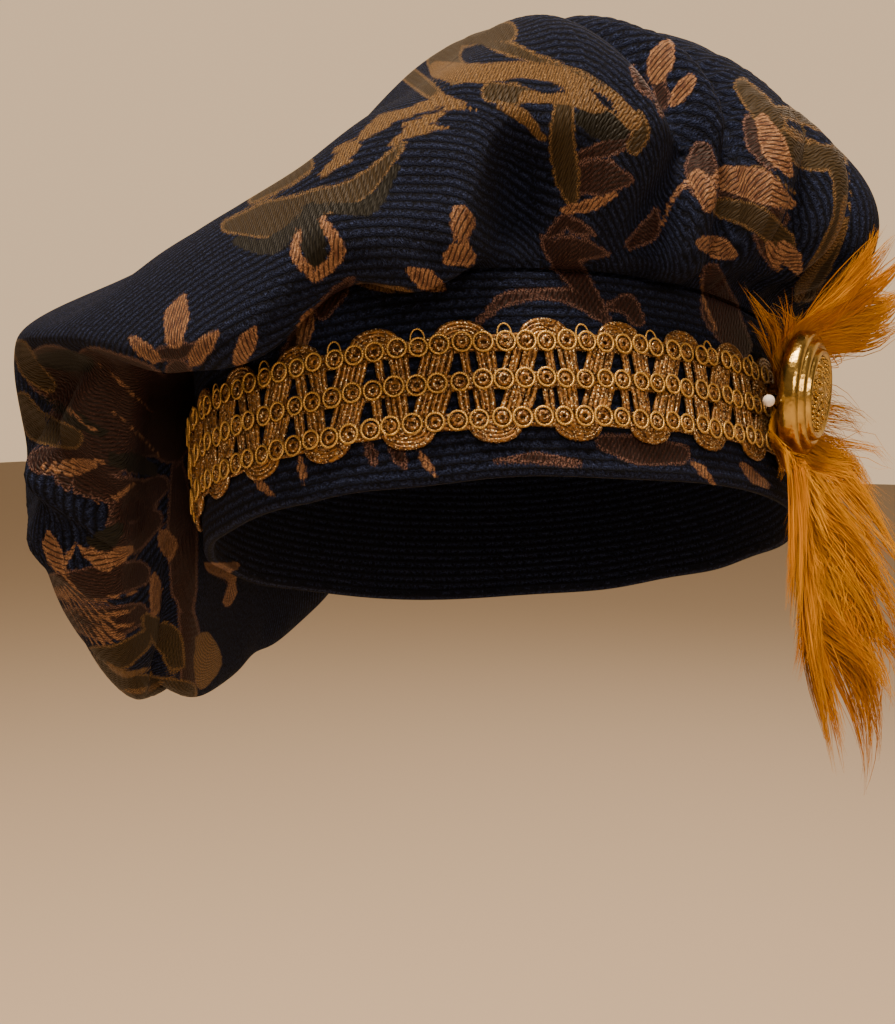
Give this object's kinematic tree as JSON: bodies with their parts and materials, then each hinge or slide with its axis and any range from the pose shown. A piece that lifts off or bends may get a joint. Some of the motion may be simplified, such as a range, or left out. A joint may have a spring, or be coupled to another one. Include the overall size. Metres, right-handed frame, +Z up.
{
  "type": "renaissance beret",
  "caption": "Renaissance beret of blue tapestry cloth with a slouched bag, scalloped gold trim, a metal button and a yellow plume.",
  "frame": {"origin": "centre of the headband's rim, where the hat sits on a head", "axes": "+Z up as worn, -Y the way the wearer faces, +X the wearer's left"},
  "size_m": [0.2688, 0.251, 0.2048],
  "materials": {
    "tapestry": "ribbed chenille tapestry, matte",
    "gold_braid": "metallic thread braid",
    "gilt_metal": "polished pale gold, granular face",
    "yellow_feather": "soft dyed feather",
    "white_glass": "glossy pin head"
  },
  "bodies": {
    "root": {"crown": "tapestry", "headband": "tapestry", "trim": "gold_braid", "button": "gilt_metal", "plume": "yellow_feather", "hat_pin": "white_glass"}
  },
  "joints": []
}
